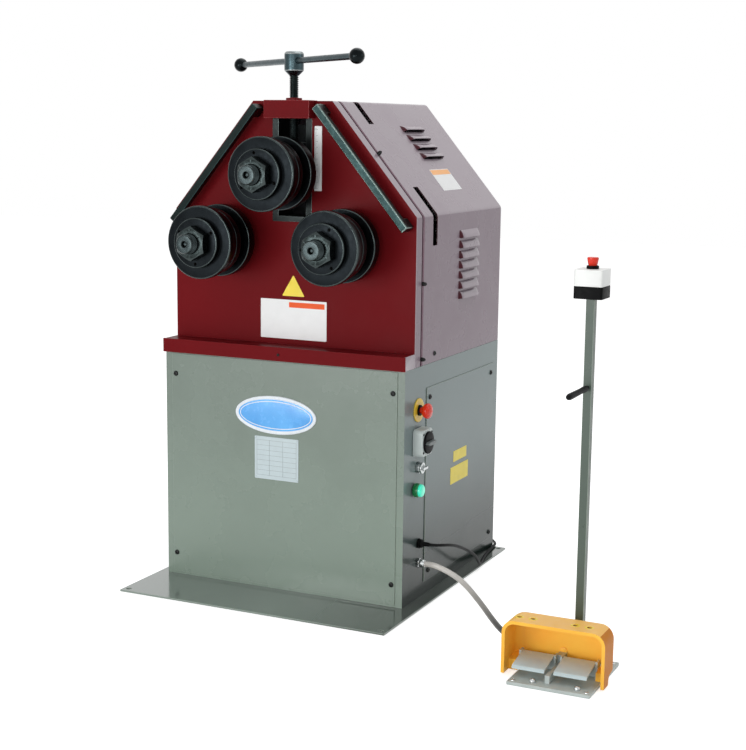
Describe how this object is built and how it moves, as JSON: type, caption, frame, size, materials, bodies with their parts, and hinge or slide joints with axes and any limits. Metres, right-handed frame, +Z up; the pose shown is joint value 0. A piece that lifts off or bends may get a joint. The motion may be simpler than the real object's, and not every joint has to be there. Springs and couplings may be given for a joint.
{
  "type": "ring roller",
  "caption": "Floor-standing section and ring bender: driven lower rolls, a hand-screwed upper roll, a cabinet base and a foot-switch pedestal on a cable",
  "frame": {"origin": "on the floor, under the centre of the cabinet", "axes": "+Z up, -Y towards the operator at the rolls, +X to the side with the switches and the foot-switch pedestal"},
  "size_m": [1.367, 1.1953, 1.42],
  "materials": {
    "grey_green_paint": "semi-gloss",
    "maroon_paint": "semi-gloss",
    "mauve_paint": "semi-gloss",
    "orange_paint": "gloss",
    "roll_steel": "blackened, satin",
    "shaft_steel": "blackened, satin",
    "nut_steel": "blackened, satin",
    "handle_steel": "blackened, satin",
    "rail_steel": "blackened, satin",
    "guide_steel": "ground",
    "bearing_steel": "satin",
    "gear_steel": "machined, oiled",
    "selector_metal": "polished",
    "bronze": "machined",
    "scale_metal": "satin",
    "cast_grey": "painted, rough",
    "motor_grey": "satin",
    "pedal_casting": "painted, satin",
    "pedal_tread": "satin",
    "grey_plastic": "satin",
    "white_plastic": "satin",
    "black_plastic": "satin",
    "conduit_plastic": "ribbed, satin",
    "yellow_plastic": "satin",
    "red_plastic": "gloss",
    "green_plastic": "translucent, gloss",
    "grip_rubber": "matte",
    "cord_rubber": "matte"
  },
  "bodies": {
    "machine": {"base_plate": "grey_green_paint", "cabinet_shell": "grey_green_paint", "front_panel": "grey_green_paint", "side_panel": "grey_green_paint", "bed_plate": "cast_grey", "head_frame": "maroon_paint", "head_band": "mauve_paint", "hood": "mauve_paint", "rear_plate": "cast_grey", "slide_guides": "guide_steel", "bridge_block": "maroon_paint", "spindle_nut": "bronze", "position_scale": "scale_metal", "left_rail": "rail_steel", "right_rail": "rail_steel", "control_box": "grey_plastic", "gearbox": "cast_grey", "drive_motor": "motor_grey", "left_bearing": "bearing_steel", "right_bearing": "bearing_steel", "stop_ring": "yellow_plastic", "switch_housing": "grey_plastic", "mains_gland": "black_plastic", "conduit_gland": "black_plastic", "pedal_base": "pedal_casting", "pedal_guard": "orange_paint", "post": "grey_green_paint", "post_grip": "grip_rubber", "station_base": "black_plastic", "station_lid": "white_plastic", "mains_cord": "cord_rubber", "conduit": "conduit_plastic", "mains_coil": "cord_rubber", "mains_plug": "cord_rubber"},
    "left_roller": {"left_shaft": "shaft_steel", "left_inner_roll": "roll_steel", "left_outer_roll": "roll_steel", "left_shaft_nut": "nut_steel", "left_gear": "gear_steel"},
    "right_roller": {"right_shaft": "shaft_steel", "right_inner_roll": "roll_steel", "right_outer_roll": "roll_steel", "right_shaft_nut": "nut_steel", "right_gear": "gear_steel"},
    "pinion": {"drive_pinion": "gear_steel"},
    "slide": {"slide_block": "guide_steel", "upper_bearing": "bearing_steel"},
    "upper_roller": {"upper_shaft": "shaft_steel", "upper_inner_roll": "roll_steel", "upper_outer_roll": "roll_steel", "upper_shaft_nut": "nut_steel"},
    "screw": {"spindle": "handle_steel", "handle_bar": "handle_steel"},
    "stop": {"stop_button": "red_plastic"},
    "power_switch": {"switch_knob": "black_plastic"},
    "selector": {"key_selector": "selector_metal"},
    "start": {"start_button": "green_plastic"},
    "pedal_left": {"left_pedal": "pedal_tread"},
    "pedal_right": {"right_pedal": "pedal_tread"},
    "station_stop": {"station_button": "red_plastic"}
  },
  "joints": [
    {"name": "spindle_turn", "type": "hinge", "parent": "slide", "child": "screw", "pos_m": [0, -0.262, 1.39], "axis": [0, 0, 1], "range_deg": [-3960, 3240]},
    {"name": "slide_z", "type": "slide", "parent": "machine", "child": "slide", "axis": [0, 0, 1], "range_m": [-0.0551, 0.0451]},
    {"name": "upper_roll", "type": "hinge", "parent": "slide", "child": "upper_roller", "pos_m": [0, -0.2714, 1.112], "axis": [0, 1, 0], "continuous": true},
    {"name": "left_roll", "type": "hinge", "parent": "machine", "child": "left_roller", "pos_m": [-0.18, -0.2714, 0.934], "axis": [0, 1, 0], "continuous": true},
    {"name": "right_roll", "type": "hinge", "parent": "machine", "child": "right_roller", "pos_m": [0.18, -0.2714, 0.934], "axis": [0, 1, 0], "continuous": true},
    {"name": "pinion_turn", "type": "hinge", "parent": "machine", "child": "pinion", "pos_m": [0, 0, 0.934], "axis": [0, 1, 0], "continuous": true},
    {"name": "stop_press", "type": "slide", "parent": "machine", "child": "stop", "axis": [1, 0, 0], "range_m": [-0.004, 0]},
    {"name": "power_turn", "type": "hinge", "parent": "machine", "child": "power_switch", "pos_m": [0.355, -0.243, 0.431], "axis": [1, 0, 0], "range_deg": [0, 90]},
    {"name": "selector_turn", "type": "hinge", "parent": "machine", "child": "selector", "pos_m": [0.355, -0.243, 0.362], "axis": [1, 0, 0], "range_deg": [0, 45]},
    {"name": "start_press", "type": "slide", "parent": "machine", "child": "start", "axis": [1, 0, 0], "range_m": [-0.003, 0], "stiffness_N_per_m": 400, "springref_m": 0.0015},
    {"name": "left_pedal_press", "type": "hinge", "parent": "machine", "child": "pedal_left", "pos_m": [0.863, -0.5843, 0.041], "axis": [1, 0, 0], "range_deg": [0, 4.5], "stiffness_Nm_per_rad": 8, "springref_deg": -6},
    {"name": "right_pedal_press", "type": "hinge", "parent": "machine", "child": "pedal_right", "pos_m": [0.863, -0.5843, 0.041], "axis": [1, 0, 0], "range_deg": [0, 4.5], "stiffness_Nm_per_rad": 8, "springref_deg": -6},
    {"name": "station_press", "type": "slide", "parent": "machine", "child": "station_stop", "axis": [0, 0, 1], "range_m": [-0.004, 0]}
  ],
  "couplings": [
    {"joint": "slide_z", "follows": "spindle_turn", "m_per_rad": 0.00079577},
    {"joint": "right_roll", "follows": "left_roll", "ratio": 1},
    {"joint": "pinion_turn", "follows": "left_roll", "ratio": -2.75}
  ]
}
